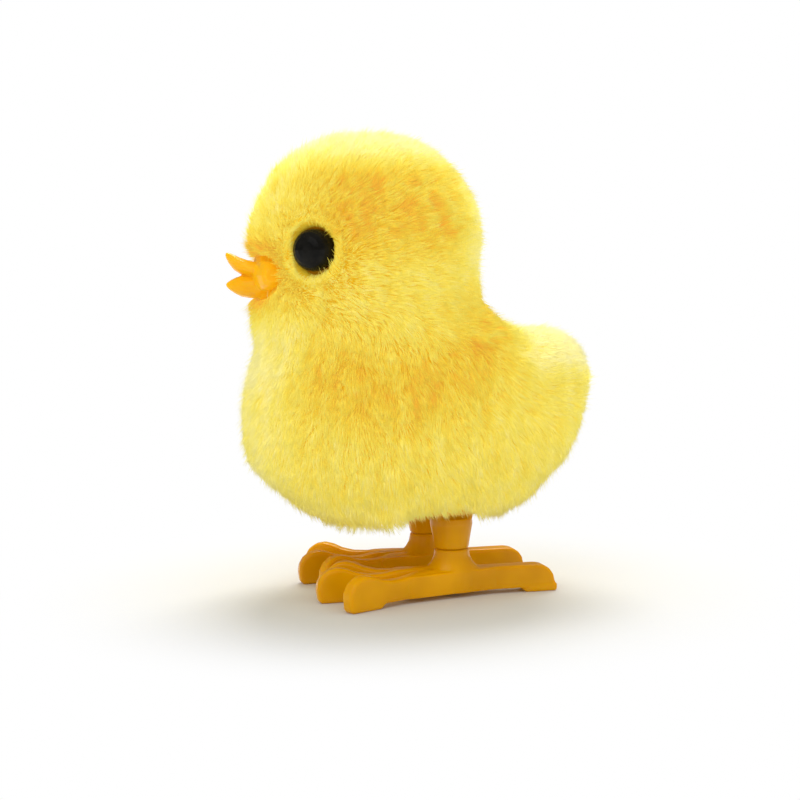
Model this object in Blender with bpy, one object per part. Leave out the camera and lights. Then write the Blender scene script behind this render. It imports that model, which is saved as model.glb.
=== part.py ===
"""Wind-up hopping chick: a plush chick on two plastic feet, with its spring motor inside.

Sizes are millimetres in the toy's own axes. +Z is up and the soles stand on z = 0. The
chick faces -Y, its left side is +X, and x = 0, y = 0 lies under the middle of the leg
axle. TOY_SHIFT then moves the whole toy so that the middle of its bounding box is over
the world origin.
"""

import math

import bmesh
import bpy
from mathutils import Matrix, Vector

MM = 0.001
GAP = 0.3  # left between pieces that rest on one another
RUNNING = 0.1  # how much wider a bore is than the shaft in it, on the radius

# ---- overall form of the body -------------------------------------------------------
HEIGHT = 100.0
HEAD_CENTRE_Y = -16.4
HEAD_CENTRE_Z = 74.5
HEAD_RADIUS = 25.5  # across and up
HEAD_RADIUS_Y = 25.9
COVER_THICKNESS = 5.5
SHELL_OUTER = 6.0  # depth of the hard shell's outside below the plush surface
SHELL_INNER = 7.6
PARTING_X = GAP / 2
COLUMNS = 24

# height, front y, back y, half width, squareness of the plan outline (2 is an ellipse)
BODY_ROWS = (
    (16.0, -25.5, 17.3, 20.0, 2.6),
    (17.5, -30.6, 19.7, 22.2, 2.5),
    (20.0, -35.4, 22.6, 24.3, 2.4),
    (24.0, -40.0, 25.9, 26.6, 2.3),
    (29.0, -42.8, 29.4, 28.2, 2.2),
    (35.0, -43.9, 32.7, 28.9, 2.1),
    (41.0, -44.0, 34.8, 29.0, 2.0),
    (47.0, -43.0, 35.5, 28.7, 2.0),
    (51.7, -41.6, 33.4, 28.0, 2.0),
    (55.2, -40.6, 30.3, 27.1, 2.0),
    (57.5, -40.3, 25.3, 26.3, 2.0),
    (59.2, -40.3, 18.0, 25.7, 2.0),
    (60.9, -40.4, 13.8, 25.3, 2.0),
    (63.5, -40.9, 10.4, 25.1, 2.0),
    (68.0, -41.6, 9.9, 25.2, 2.0),
    (74.5, -42.3, 9.8, 25.5, 2.0),
)
HEAD_ROW_HEIGHTS = (80.0, 85.0, 90.0, 94.0, 97.0, 99.2)

# ---- leg axle, crank and swing ------------------------------------------------------
PIVOT_Z = 24.0
AXLE_RADIUS = 1.0
AXLE_HALF_LENGTH = 15.3
CLIP_INNER_X = 14.5
CLIP_THICKNESS = 0.6
CRANK_Z = 33.0
CRANK_THROW = 1.6
CRANK_INNER_X = 10.8
CRANK_THICKNESS = 0.7
CRANK_PIN_RADIUS = 0.7
CRANK_PIN_LENGTH = 0.5

# ---- feet and legs ------------------------------------------------------------------
FOOT_X = 11.0
TOE_HALF_WIDTH = 1.6
TOE_CHAMFER = 0.45
OUTER_TOE_TIP = (12.6, -25.9)  # from the middle of the foot, sideways and along y
INNER_TOE_TIP = (-8.7, -26.3)
MIDDLE_TOE_LENGTH = 29.8
REAR_TOE_LENGTH = 22.8
REAR_TOE_HALF_WIDTH = 2.4
REAR_TOE_HEIGHT = 5.9
REAR_TOE_CORNER = 3.8
KNUCKLE_HEIGHT = 7.4
INSTEP_HEIGHT = 6.4
ARCH_HEIGHT = 0.9
# Plan outlines about the middle of the left foot, anticlockwise: the floor between the toes, and
# the walls that carry the outer and the inner toe's side back into the rear toe.
SOLE_WEB = ((-5.4, -12.5), (6.6, -12.2), (3.8, 3.0), (-3.8, 3.0))
OUTER_FLANK = ((0.5, 8.8), (0.5, -1.0), (5.0, -12.0), (7.3, -10.9), (4.7, -1.0), (2.5, 9.0))
INNER_FLANK = ((-0.5, 8.8), (-2.5, 9.0), (-4.7, -1.0), (-5.9, -11.3), (-3.6, -12.2), (-0.5, -1.0))
SEAM_Z = 10.3
SEAM_GAP = 0.2
SEAM_RADIUS = 3.65
COLUMN_TOP_Z = 17.0
COLUMN_TOP_RADIUS = 4.6
PEG_RADIUS = 2.0
PEG_END_Z = 4.0
BLADE_X = (12.3, 14.2)
BLADE_HALF_WIDTH = 4.0
BLADE_TOP_Z = 38.0

# ---- spring motor -------------------------------------------------------------------
CASE_X = 10.5
CASE_WALL = 1.2
# y, z and rounding of each corner of the motor case, anticlockwise from the rear foot
CASE_CORNERS = (
    (10.6, 20.0, 2.0),
    (14.8, 31.0, 2.0),
    (14.8, 54.6, 10.6),
    (-17.0, 54.6, 2.4),
    (-17.0, 20.0, 2.4),
)
CASE_BOTTOM_Z = 20.0
COVER_PLATE_X = (9.0, 10.5)
TUB_RIM_X = 8.8
MODULE = 0.5
ADDENDUM = 0.8  # in modules
DEDENDUM = 1.3
TOOTH_SLACK = 0.1
PRESSURE_ANGLE = math.radians(20.0)
GREAT_TEETH = 36
SECOND_TEETH = 30
DRIVE_TEETH = 26
PINION_TEETH = 10
WINDING_AXIS = (3.5, 43.5)  # y, z
ARBOR_RADIUS = 1.5
THIN_ARBOR_RADIUS = 0.75
CRANK_SHAFT_RADIUS = 1.0
GREAT_X = (-3.2, -1.6)
SECOND_PINION_X = (-3.5, -1.3)
SECOND_WHEEL_X = (2.0, 3.4)
CRANK_PINION_X = (1.6, 3.8)
DRIVE_X = (5.0, 6.2)
GOVERNOR_PINION_X = (4.6, 6.6)
ESCAPE_X = (7.2, 8.2)
RATCHET_X = (-1.2, 0.0)
GOVERNOR_DIRECTION = math.radians(-30.0)
VERGE_AXIS = (10.4, 33.5)
SPRING_X = (-8.8, -3.8)
SPRING_RADII = (2.3, 8.4)
SPRING_TURNS = 6.6
SPRING_STRIP = 0.35

# ---- knob, face parts and screws ----------------------------------------------------
KNOB_X = (-30.6, -36.0)
KNOB_RADIUS = 6.5
KNOB_STEM_RADIUS = 2.4
BEAK_Z = 69.3
BEAK_STEM_RADIUS = 1.8
EYE_CENTRE = Vector((20.2, -32.4, 74.3))
EYE_RADIUS = 4.35
EYE_STEM_RADIUS = 1.1
SCREW_SHANK_RADIUS = 0.8
SCREW_HEAD_RADIUS = 1.7
BOSS_RADIUS = 2.6
SHELL_BOSSES = {  # y, z of the three screws that join the shell halves
    "head": (-16.4, 88.0),
    "chest": (-21.5, 26.4),
    "tail": (20.0, 47.0),
}
CASE_SCREWS = ((-13.8, 51.4), (-13.9, 29.0), (9.0, 23.0))
CASE_PILLAR_RADIUS = 1.6
BASE_SCREW_Y = (-9.5, 8.0)
BASE_Z = (18.2, 19.4)

# The toy reaches x -36.0 to 29.0 and y -46.0 to 35.5, and its box is centred here.
TOY_SHIFT = Vector((3.5, 5.25, 0.0))

COLOURS = {
    "plush": ((0.93, 0.78, 0.20), 0.95, 0.0),
    "orange_plastic": ((0.95, 0.55, 0.05), 0.30, 0.0),
    "black_plastic": ((0.01, 0.01, 0.01), 0.10, 0.0),
    "shell_plastic": ((0.85, 0.84, 0.78), 0.45, 0.0),
    "case_plastic": ((0.80, 0.80, 0.82), 0.40, 0.0),
    "gear_plastic": ((0.90, 0.90, 0.86), 0.35, 0.0),
    "knob_plastic": ((0.93, 0.92, 0.86), 0.30, 0.0),
    "washer_plastic": ((0.75, 0.76, 0.74), 0.45, 0.0),
    "steel": ((0.62, 0.63, 0.65), 0.30, 1.0),
    "spring_steel": ((0.35, 0.36, 0.40), 0.28, 1.0),
}


# ---- scene set-up -------------------------------------------------------------------
def clear_scene():
    for item in list(bpy.data.objects):
        bpy.data.objects.remove(item, do_unlink=True)


def new_collection(name):
    collection = bpy.data.collections.new(name)
    bpy.context.scene.collection.children.link(collection)
    return collection


def make_materials():
    made = {}
    for name, (colour, roughness, metallic) in COLOURS.items():
        material = bpy.data.materials.new(name)
        material.use_nodes = True
        shader = material.node_tree.nodes["Principled BSDF"]
        shader.inputs["Base Color"].default_value = (*colour, 1.0)
        shader.inputs["Roughness"].default_value = roughness
        shader.inputs["Metallic"].default_value = metallic
        made[name] = material
    return made


clear_scene()
PARTS = new_collection("hopping_chick")
CUTTERS = new_collection("construction")
MATERIALS = make_materials()
TOY = bpy.data.objects.new("toy_frame", None)
TOY.location = TOY_SHIFT * MM
PARTS.objects.link(TOY)


def mesh_object(name, shape, collection, pivot=Vector()):
    """An object whose origin is at pivot, from a shape: its points and its faces."""
    points, faces = shape
    mesh = bpy.data.meshes.new(name)
    mesh.from_pydata([(Vector(p) - pivot) * MM for p in points], [], faces)
    work = bmesh.new()
    work.from_mesh(mesh)
    bmesh.ops.connect_verts_nonplanar(work, angle_limit=0.001, faces=work.faces)
    bmesh.ops.recalc_face_normals(work, faces=work.faces)
    work.to_mesh(mesh)
    work.free()
    item = bpy.data.objects.new(name, mesh)
    item.location = pivot * MM
    item.parent = TOY
    collection.objects.link(item)
    return item


def construction(name, shape):
    """A hidden solid that shapes another one."""
    item = mesh_object(name, shape, CUTTERS)
    item.hide_render = True
    item.display_type = "WIRE"
    return item


def combine(item, operation, tool):
    modifier = item.modifiers.new(operation.lower(), "BOOLEAN")
    modifier.operation = operation
    modifier.solver = "EXACT"
    modifier.object = tool


def part(name, shape, material, pivot=(0.0, 0.0, 0.0), add=(), cut=()):
    """One physical piece: a shape, with others added to it and then others cut from it."""
    item = mesh_object(name, shape, PARTS, Vector(pivot))
    item.data.materials.append(MATERIALS[material])
    for number, extra in enumerate(add, 1):
        combine(item, "UNION", construction(f"{name}_add_{number}", extra))
    for number, hole in enumerate(cut, 1):
        combine(item, "DIFFERENCE", construction(f"{name}_cut_{number}", hole))
    return item


# ---- shapes -------------------------------------------------------------------------
def loft(rings):
    """A closed solid through rings of equal point counts, capped at both ends."""
    count = len(rings[0])
    points = [point for ring in rings for point in ring]
    faces = []
    for row in range(len(rings) - 1):
        for column in range(count):
            after = (column + 1) % count
            low, high = row * count, (row + 1) * count
            faces.append((low + column, low + after, high + after, high + column))
    faces.append(tuple(range(count)))
    faces.append(tuple((len(rings) - 1) * count + k for k in range(count)))
    return points, faces


def place(axis, along, across, up):
    """A point from its distance along an axis and two distances square to it."""
    return {
        "X": (along, across, up),
        "Y": (across, along, up),
        "Z": (across, up, along),
    }[axis]


def prism(axis, outline, low, high):
    return loft([[place(axis, end, *point) for point in outline] for end in (low, high)])


def turned(axis, centre, profile, segments=24):
    """A solid of revolution from (distance along, radius) pairs."""
    rings = []
    for along, radius in profile:
        turns = [2 * math.pi * k / segments for k in range(segments)]
        rings.append(
            [
                place(
                    axis,
                    along,
                    centre[0] + radius * math.cos(turn),
                    centre[1] + radius * math.sin(turn),
                )
                for turn in turns
            ]
        )
    return loft(rings)


def cylinder(axis, centre, radius, low, high, segments=24):
    return turned(axis, centre, ((low, radius), (high, radius)), segments)


def box(x, y, z):
    return prism("X", ((y[0], z[0]), (y[1], z[0]), (y[1], z[1]), (y[0], z[1])), *x)


def moved(shape, matrix):
    points, faces = shape
    return [matrix @ Vector(point) for point in points], faces


def mirrored(shape):
    points, faces = shape
    return [(-point[0], point[1], point[2]) for point in points], faces


def rounded_rectangle(y, z, corner, steps=4):
    outline = []
    centres = (
        (y[1] - corner, z[1] - corner),
        (y[0] + corner, z[1] - corner),
        (y[0] + corner, z[0] + corner),
        (y[1] - corner, z[0] + corner),
    )
    for quarter, (cy, cz) in enumerate(centres):
        for step in range(steps + 1):
            turn = math.pi / 2 * (quarter + step / steps)
            outline.append((cy + corner * math.cos(turn), cz + corner * math.sin(turn)))
    return outline


def rounded_outline(corners, steps=4):
    """An outline through (u, v, radius) corners, each rounded off by its radius."""
    outline = []
    for k, (u, v, radius) in enumerate(corners):
        here = Vector((u, v))
        back = (Vector(corners[k - 1][:2]) - here).normalized()
        on = (Vector(corners[(k + 1) % len(corners)][:2]) - here).normalized()
        half = back.angle(on) / 2
        centre = here + (back + on).normalized() * radius / math.sin(half)
        start = here + back * radius / math.tan(half) - centre
        sweep = math.pi - 2 * half
        for step in range(steps + 1):
            arm = Matrix.Rotation(sweep * step / steps, 2) @ start
            outline.append(tuple(centre + arm))
    return outline


def slot_outline(centre, half_width, half_length, steps=6):
    """A vertical slot with round ends, in y and z."""
    outline = []
    for end in (1, -1):
        for step in range(steps + 1):
            turn = math.pi * step / steps + (0 if end > 0 else math.pi)
            outline.append(
                (
                    centre[0] + half_width * math.cos(turn),
                    centre[1] + end * half_length + half_width * math.sin(turn),
                )
            )
    return outline


def inset(outline, distance):
    """An outline moved inwards, for an outline that runs anticlockwise."""
    moved_in = []
    count = len(outline)
    for k, (u, v) in enumerate(outline):
        before, after = outline[k - 1], outline[(k + 1) % count]
        along = Vector((after[0] - before[0], after[1] - before[1])).normalized()
        moved_in.append((u - along.y * distance, v + along.x * distance))
    return moved_in


def chamfered_slab(outline, half_width, chamfer):
    """An outline in y and z made into a slab about x = 0 with its long edges broken."""
    small = inset(outline, chamfer)
    stations = (
        (-half_width, small),
        (chamfer - half_width, outline),
        (half_width - chamfer, outline),
        (half_width, small),
    )
    return loft([[(x, u, v) for u, v in points] for x, points in stations])


# ---- body surface -------------------------------------------------------------------
def body_rows():
    """Every plan outline of the body, from the hem to just below the crown."""
    rows = list(BODY_ROWS)
    for z in HEAD_ROW_HEIGHTS:
        share = math.sqrt(1 - ((z - HEAD_CENTRE_Z) / (HEIGHT - HEAD_CENTRE_Z)) ** 2)
        reach = HEAD_RADIUS_Y * share
        rows.append(
            (z, HEAD_CENTRE_Y - reach, HEAD_CENTRE_Y + reach, HEAD_RADIUS * share, 2.0)
        )
    return rows


def row_point(row, turn):
    z, front, back, half_width, squareness = row
    sine, cosine = math.sin(turn), math.cos(turn)
    power = 2 / squareness
    x = half_width * math.copysign(abs(sine) ** power, sine)
    y = (front + back) / 2 + (back - front) / 2 * math.copysign(abs(cosine) ** power, cosine)
    return Vector((x, y, z))


def body_grid(depth):
    """The body surface as rows of points, and its crown, a depth below the outside."""
    rows = body_rows()
    turns = [2 * math.pi * k / COLUMNS for k in range(COLUMNS)]
    outside = [[row_point(row, turn) for turn in turns] for row in rows]
    crown = Vector((0.0, HEAD_CENTRE_Y, HEIGHT))
    grid = []
    for i, ring in enumerate(outside):
        below = outside[max(i - 1, 0)]
        above = outside[i + 1] if i + 1 < len(outside) else [crown] * COLUMNS
        inner = []
        for k, point in enumerate(ring):
            around = ring[(k + 1) % COLUMNS] - ring[k - 1]
            upward = above[k] - below[k]
            normal = upward.cross(around).normalized()
            inner.append(point - normal * depth)
        grid.append(inner)
    return grid, crown - Vector((0.0, 0.0, depth))


def dome_faces(first, rows, columns, closed):
    """Quads between rows of points and a fan to the crown point that follows them."""
    faces = []
    spans = columns if closed else columns - 1
    for row in range(rows - 1):
        for k in range(spans):
            low, high = first + row * columns, first + (row + 1) * columns
            after = (k + 1) % columns
            faces.append((low + k, low + after, high + after, high + k))
    top = first + (rows - 1) * columns
    crown = first + rows * columns
    faces += [(top + k, top + (k + 1) % columns, crown) for k in range(spans)]
    return faces


def body_solid(depth):
    """The whole body as one solid, closed across the hem."""
    grid, crown = body_grid(depth)
    points = [point for ring in grid for point in ring] + [crown]
    faces = dome_faces(0, len(grid), COLUMNS, True)
    faces.append(tuple(range(COLUMNS)))
    return points, faces


def body_skin(outer_depth, inner_depth):
    """A hollow dome between two depths, open across the hem."""
    points, faces = [], []
    for depth in (outer_depth, inner_depth):
        grid, crown = body_grid(depth)
        faces += dome_faces(len(points), len(grid), COLUMNS, True)
        points += [point for ring in grid for point in ring] + [crown]
    inner = len(points) // 2
    for k in range(COLUMNS):
        after = (k + 1) % COLUMNS
        faces.append((k, after, inner + after, inner + k))
    return points, faces


def half_shell():
    """The left half of the hard shell, cut off square just short of the middle plane.

    It stops one row above the hem, which leaves the plush free to tuck under it.
    """
    columns = COLUMNS // 2 + 1
    points, faces = [], []
    for depth in (SHELL_OUTER, SHELL_INNER):
        grid, crown = body_grid(depth)
        grid = grid[1:]
        faces += dome_faces(len(points), len(grid), columns, False)
        for ring in grid:
            points += [Vector((max(p.x, PARTING_X), p.y, p.z)) for p in ring[:columns]]
        points.append(Vector((PARTING_X, crown.y, crown.z)))
    inner = len(points) // 2
    rows = (inner - 1) // columns
    hem = list(range(columns))
    back = [row * columns for row in range(rows)] + [inner - 1]
    front = [row * columns + columns - 1 for row in range(rows)] + [inner - 1]
    for edge in (hem, back, front):
        for a, b in zip(edge, edge[1:]):
            faces.append((a, b, inner + b, inner + a))
    return points, faces


# ---- gears --------------------------------------------------------------------------
def pitch_radius(teeth):
    return teeth * MODULE / 2


def gear_outline(teeth, centre, phase):
    """Involute teeth about centre, with a tooth in the middle at the phase angle."""
    pitch = pitch_radius(teeth)
    base = pitch * math.cos(PRESSURE_ANGLE)
    root = pitch - DEDENDUM * MODULE
    tip = pitch + ADDENDUM * MODULE
    half_tooth = math.pi / (2 * teeth) - TOOTH_SLACK / (4 * pitch)

    def half_angle(radius):
        pressure = math.acos(base / max(radius, base))
        roll = math.tan(PRESSURE_ANGLE) - PRESSURE_ANGLE
        return half_tooth + roll - (math.tan(pressure) - pressure)

    radii = (root, max(base, root + 0.05), pitch, tip)
    outline = []
    for tooth in range(teeth):
        middle = phase + 2 * math.pi * tooth / teeth
        flank = [(r, middle - half_angle(r)) for r in radii]
        flank += [(r, middle + half_angle(r)) for r in reversed(radii)]
        outline += [
            (centre[0] + r * math.cos(turn), centre[1] + r * math.sin(turn))
            for r, turn in flank
        ]
    return outline


def gear(teeth, centre, phase, x):
    return prism("X", gear_outline(teeth, centre, phase), *x)


def point_from(centre, distance, turn):
    return (centre[0] + distance * math.cos(turn), centre[1] + distance * math.sin(turn))


def direction(start, end):
    return math.atan2(end[1] - start[1], end[0] - start[0])


def third_corner(a, b, from_a, from_b):
    """The point at two distances from a and b, on the low-y side."""
    span = math.dist(a, b)
    along = (from_a**2 - from_b**2 + span**2) / (2 * span)
    aside = math.sqrt(from_a**2 - along**2)
    turn = direction(a, b)
    foot = point_from(a, along, turn)
    corners = [point_from(foot, aside, turn + side * math.pi / 2) for side in (1, -1)]
    return min(corners)


CRANK_AXIS = (0.0, CRANK_Z)
SECOND_AXIS = third_corner(
    WINDING_AXIS,
    CRANK_AXIS,
    pitch_radius(GREAT_TEETH) + pitch_radius(PINION_TEETH),
    pitch_radius(SECOND_TEETH) + pitch_radius(PINION_TEETH),
)
GOVERNOR_AXIS = point_from(
    CRANK_AXIS,
    pitch_radius(DRIVE_TEETH) + pitch_radius(PINION_TEETH),
    GOVERNOR_DIRECTION,
)


def on_axis(axis, x=0.0):
    return (x, axis[0], axis[1])


def meshing_phase(teeth, own_axis, other_axis):
    """The phase that turns a gap, not a tooth, towards the gear it meshes with."""
    return direction(own_axis, other_axis) + math.pi / teeth


# ---- plush cover, shell and face ----------------------------------------------------
def eye_frame():
    """Where an eye sits: z points out of the head."""
    head = Vector((0.0, HEAD_CENTRE_Y, HEAD_CENTRE_Z))
    outward = (EYE_CENTRE - head).normalized()
    return Matrix.Translation(head) @ outward.to_track_quat("Z", "Y").to_matrix().to_4x4()


def along_eye(shape, right_side):
    placed = moved(shape, eye_frame())
    return mirrored(placed) if right_side else placed


def build_plush_cover():
    holes = [cylinder("X", WINDING_AXIS, KNOB_STEM_RADIUS + 0.9, -32.0, -12.0)]
    holes.append(cylinder("Y", (0.0, BEAK_Z), 6.7, -48.0, -30.0))
    mouth = rounded_rectangle((-10.9, 10.9), (BEAK_Z - 3.9, BEAK_Z + 3.9), 3.8)
    holes.append(prism("Y", mouth, -48.0, -30.0))
    for right_side in (False, True):
        pocket = cylinder("Z", (0.0, 0.0), EYE_RADIUS + 0.3, 15.0, 30.0)
        holes.append(along_eye(pocket, right_side))
    part("plush_cover", body_skin(0.0, COVER_THICKNESS), "plush", cut=holes)


def boss(name, right_side, reach_x):
    """A screw boss that runs from the parting plane into the wall of a shell half."""
    shape = cylinder("X", SHELL_BOSSES[name], BOSS_RADIUS, reach_x, 30.0, 16)
    shape = mirrored(shape) if right_side else shape
    tool = construction(f"boss_{name}_{'right' if right_side else 'left'}", shape)
    middle_of_wall = (SHELL_OUTER + SHELL_INNER) / 2
    combine(tool, "INTERSECT", construction(f"{tool.name}_limit", body_solid(middle_of_wall)))
    return tool


def build_shell_half(side):
    """One half of the hard body. The right half has the screw heads and the knob hole."""
    right_side = side == "right"
    shape = mirrored(half_shell()) if right_side else half_shell()
    item = part(f"body_shell_{side}", shape, "shell_plastic")
    for name in SHELL_BOSSES:
        combine(item, "UNION", boss(name, right_side, 1.5 if name != "head" else PARTING_X))
    eye_hole = cylinder("Z", (0.0, 0.0), EYE_STEM_RADIUS + 0.4, 14.0, 24.0, 16)
    holes = [
        along_eye(eye_hole, right_side),
        cylinder("Y", (0.0, BEAK_Z), BEAK_STEM_RADIUS + 0.4, -42.0, -30.0),
    ]
    for axis in SHELL_BOSSES.values():
        if right_side:
            holes.append(cylinder("X", axis, SCREW_SHANK_RADIUS + RUNNING, -8.0, 1.0, 16))
            holes.append(cylinder("X", axis, SCREW_HEAD_RADIUS + 0.2, -30.0, -6.0, 16))
        else:
            holes.append(cylinder("X", axis, SCREW_SHANK_RADIUS + RUNNING, -1.0, 8.4, 16))
    if right_side:
        holes.append(cylinder("X", WINDING_AXIS, KNOB_STEM_RADIUS + 0.5, -32.0, -12.0))
    for number, hole in enumerate(holes, 1):
        combine(item, "DIFFERENCE", construction(f"{item.name}_cut_{number}", hole))


def build_shell_screws():
    for name, axis in SHELL_BOSSES.items():
        head = ((-7.6, SCREW_HEAD_RADIUS - 0.4), (-7.2, SCREW_HEAD_RADIUS))
        shank = ((-6.3, SCREW_HEAD_RADIUS), (-6.3, SCREW_SHANK_RADIUS))
        end = ((7.2, SCREW_SHANK_RADIUS), (8.0, 0.3))
        part(f"shell_screw_{name}", turned("X", axis, head + shank + end, 16), "steel")


def mandible(stations):
    """One half of the beak, from (y, half width, low z, high z) stations."""
    rings = []
    for y, half_width, low, high in stations:
        middle, half_height = (low + high) / 2, (high - low) / 2
        turns = [2 * math.pi * k / 12 for k in range(12)]
        rings.append(
            [
                (half_width * math.cos(t), y, middle + half_height * math.sin(t))
                for t in turns
            ]
        )
    return loft(rings)


def mouth_band():
    """The corners of the mouth: a band that follows the head's curve to each side."""
    half = (
        (0.0, -40.6, -37.0, 3.3),
        (4.0, -40.7, -36.5, 3.3),
        (7.5, -40.5, -35.5, 3.1),
        (9.4, -39.9, -35.3, 2.5),
        (10.3, -39.1, -35.9, 1.4),
    )
    stations = [(-x, *rest) for x, *rest in reversed(half[1:])] + list(half)
    rings = []
    for x, front, back, half_height in stations:
        middle, reach = (front + back) / 2, (back - front) / 2
        turns = [2 * math.pi * k / 16 for k in range(16)]
        rings.append(
            [(x, middle + reach * math.cos(t), BEAK_Z + half_height * math.sin(t)) for t in turns]
        )
    return loft(rings)


def build_beak():
    base = turned(
        "Y",
        (0.0, BEAK_Z),
        ((-39.7, 3.9), (-39.0, 5.1), (-37.8, 5.7), (-37.8, 6.3), (-36.7, 6.3)),
    )
    stem = cylinder("Y", (0.0, BEAK_Z), BEAK_STEM_RADIUS, -38.0, -30.6)
    upper = mandible(
        (
            (-37.9, 5.0, 68.8, 72.2),
            (-39.6, 4.7, 69.0, 72.3),
            (-41.4, 3.9, 69.2, 72.7),
            (-43.1, 2.9, 69.8, 73.3),
            (-44.3, 2.2, 70.6, 73.9),
            (-45.3, 1.4, 71.9, 74.3),
            (-46.0, 0.6, 73.3, 74.3),
        )
    )
    lower = mandible(
        (
            (-38.0, 4.8, 64.5, 69.6),
            (-39.6, 4.5, 64.5, 69.5),
            (-41.2, 3.8, 64.6, 69.5),
            (-42.8, 3.0, 64.9, 69.4),
            (-44.0, 2.2, 65.5, 69.0),
            (-45.2, 1.4, 66.3, 68.4),
            (-46.0, 0.6, 67.1, 67.8),
        )
    )
    part("beak", base, "orange_plastic", add=(stem, mouth_band(), upper, lower))


def build_beak_washer():
    ring = cylinder("Y", (0.0, BEAK_Z), 3.6, -33.0, -32.0)
    hole = cylinder("Y", (0.0, BEAK_Z), BEAK_STEM_RADIUS + RUNNING, -35.0, -31.0)
    part("beak_washer", ring, "washer_plastic", cut=(hole,))


def build_eye(side):
    """A domed button on a stem, and the washer pushed onto the stem inside the shell."""
    right_side = side == "right"
    seat = HEAD_RADIUS - SHELL_OUTER + 0.9
    rim, apex = HEAD_RADIUS - 3.0, HEAD_RADIUS + 0.3
    button = [(14.9, EYE_STEM_RADIUS), (seat, EYE_STEM_RADIUS), (seat, EYE_RADIUS - 0.5)]
    button.append((seat + 0.5, EYE_RADIUS))
    for step in range(6):
        turn = math.pi / 2 * step / 5.5
        button.append((rim + (apex - rim) * math.sin(turn), EYE_RADIUS * math.cos(turn)))
    part(
        f"eye_{side}",
        along_eye(turned("Z", (0.0, 0.0), button), right_side),
        "black_plastic",
    )
    inside = HEAD_RADIUS - SHELL_INNER
    washer = cylinder("Z", (0.0, 0.0), 2.8, inside - 2.0, inside - 1.1)
    hole = cylinder("Z", (0.0, 0.0), EYE_STEM_RADIUS + RUNNING, inside - 3.0, inside)
    part(
        f"eye_washer_{side}",
        along_eye(washer, right_side),
        "washer_plastic",
        cut=(along_eye(hole, right_side),),
    )


# ---- feet, legs and axle ------------------------------------------------------------
def toe_outline(length, arch, instep):
    """Side view of a front toe, with y negative towards the tip, anticlockwise."""
    forward = (
        (2.0, arch),
        (length - 9.4, arch),
        (length - 8.4, 0.0),
        (length - 1.0, 0.0),
        (length - 0.3, 0.6),
        (length, 2.8),
        (length - 0.2, 4.3),
        (length - 1.1, 5.9),
        (length - 2.6, 7.0),
        (length - 4.6, KNUCKLE_HEIGHT),
        (length - 6.6, 7.0),
        (length - 8.8, 6.1),
        (length - 11.4, 5.6),
        (length - 14.4, 5.6),
        (length - 18.0, instep - 0.4),
        (2.0, instep),
    )
    return [(-s, z) for s, z in reversed(forward)]


def rear_toe_outline():
    end, corner = REAR_TOE_LENGTH, REAR_TOE_CORNER
    outline = [(-3.0, ARCH_HEIGHT + 0.3), (end, ARCH_HEIGHT + 0.3)]
    for step in range(5):
        turn = math.pi / 2 * step / 4
        across, up = corner * math.cos(turn), corner * math.sin(turn)
        outline.append((end - corner + across, REAR_TOE_HEIGHT - corner + up))
    outline.append((-3.0, REAR_TOE_HEIGHT))
    return outline


def heel_outline():
    """The plinth along the bottom of the rear toe, which stands on the floor at its end."""
    end, top = REAR_TOE_LENGTH + 0.35, 1.6
    heel = end - 7.0
    return [
        (-1.2, ARCH_HEIGHT + 0.1),
        (heel - 1.0, ARCH_HEIGHT + 0.1),
        (heel, 0.0),
        (end - 0.2, 0.0),
        (end, 0.3),
        (end, top),
        (-1.2, top),
    ]


def ankle():
    """The flare from the foot up to the seam, longer along the foot than across it."""
    rings = []
    for z, across, along in (
        (ARCH_HEIGHT + 0.2, 4.6, 6.0),
        (5.4, 4.5, 6.3),
        (6.3, 4.3, 5.6),
        (7.2, 4.0, 4.7),
        (8.4, 3.8, 4.0),
        (SEAM_Z - SEAM_GAP / 2, SEAM_RADIUS, SEAM_RADIUS),
    ):
        turns = [2 * math.pi * k / 24 for k in range(24)]
        rings.append([(across * math.cos(t), along * math.sin(t), z) for t in turns])
    return loft(rings)


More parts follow.
